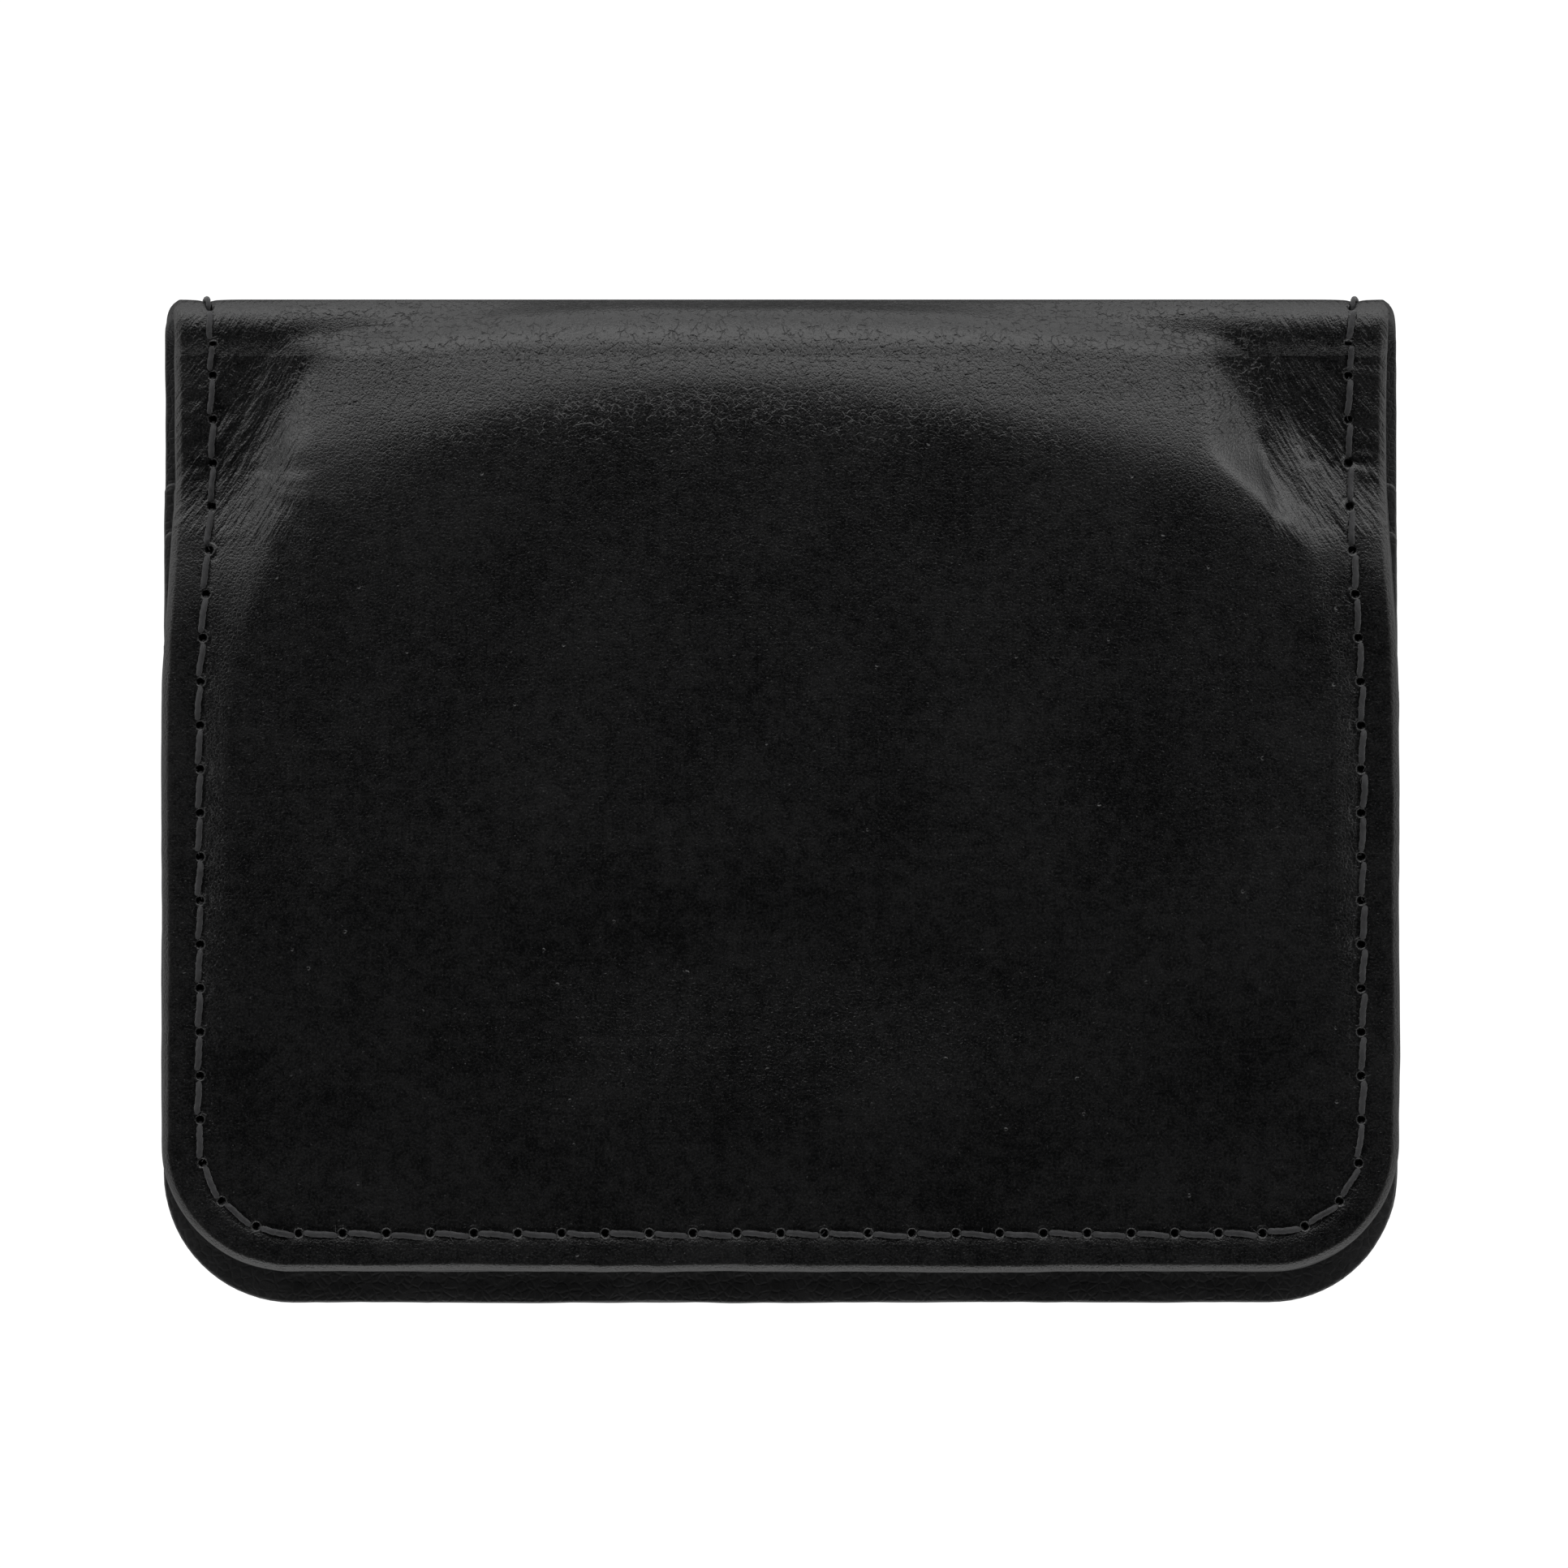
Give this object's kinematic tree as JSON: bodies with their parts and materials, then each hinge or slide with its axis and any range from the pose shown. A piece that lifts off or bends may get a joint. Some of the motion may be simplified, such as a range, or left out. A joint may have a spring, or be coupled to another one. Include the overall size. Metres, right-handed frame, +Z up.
{
  "type": "bifold wallet",
  "caption": "Closed leather bifold wallet: two stitched leaves with card slots and note pockets, joined by a bending spine.",
  "frame": {"origin": "centre of the closed wallet's bounding box in X and Y, on its underside", "axes": "+X along the fold, +Y from the free edges towards the fold, +Z up through the closed wallet's thickness"},
  "size_m": [0.11, 0.0894, 0.016],
  "materials": {
    "outer_leather": "smooth black full-grain leather, soft satin gloss, fine pores and creases",
    "lining_leather": "thin black lining leather, matt, fine even grain",
    "pocket_leather": "thin smooth black leather with creased and painted mouths",
    "thread": "waxed black polyester thread, slightly fuzzy"
  },
  "bodies": {
    "back_leaf": {"back_outer_leather": "outer_leather", "back_lining": "lining_leather", "back_note_pocket": "pocket_leather", "back_card_slot_1": "pocket_leather", "back_card_slot_2": "pocket_leather", "back_card_slot_3": "pocket_leather", "back_slot_1_thread": "thread", "back_slot_2_thread": "thread", "back_outer_seam_thread": "thread", "back_inner_seam_thread": "thread"},
    "spine": {"spine_outer_leather": "outer_leather", "spine_lining": "lining_leather", "spine_seam_thread": "thread"},
    "front_leaf": {"front_outer_leather": "outer_leather", "front_lining": "lining_leather", "front_note_pocket": "pocket_leather", "front_card_slot_1": "pocket_leather", "front_card_slot_2": "pocket_leather", "front_card_slot_3": "pocket_leather", "front_slot_1_thread": "thread", "front_slot_2_thread": "thread", "front_outer_seam_thread": "thread", "front_inner_seam_thread": "thread"}
  },
  "joints": [
    {"name": "spine_fold", "type": "hinge", "parent": "back_leaf", "child": "spine", "pos_m": [0, 0.04321, 0.00149], "axis": [-1, 0, 0], "range_deg": [0, 90]},
    {"name": "front_fold", "type": "hinge", "parent": "spine", "child": "front_leaf", "pos_m": [0, 0.04321, 0.00871], "axis": [-1, 0, 0], "range_deg": [0, 90]}
  ],
  "couplings": [
    {"joint": "front_fold", "follows": "spine_fold", "ratio": 1}
  ]
}
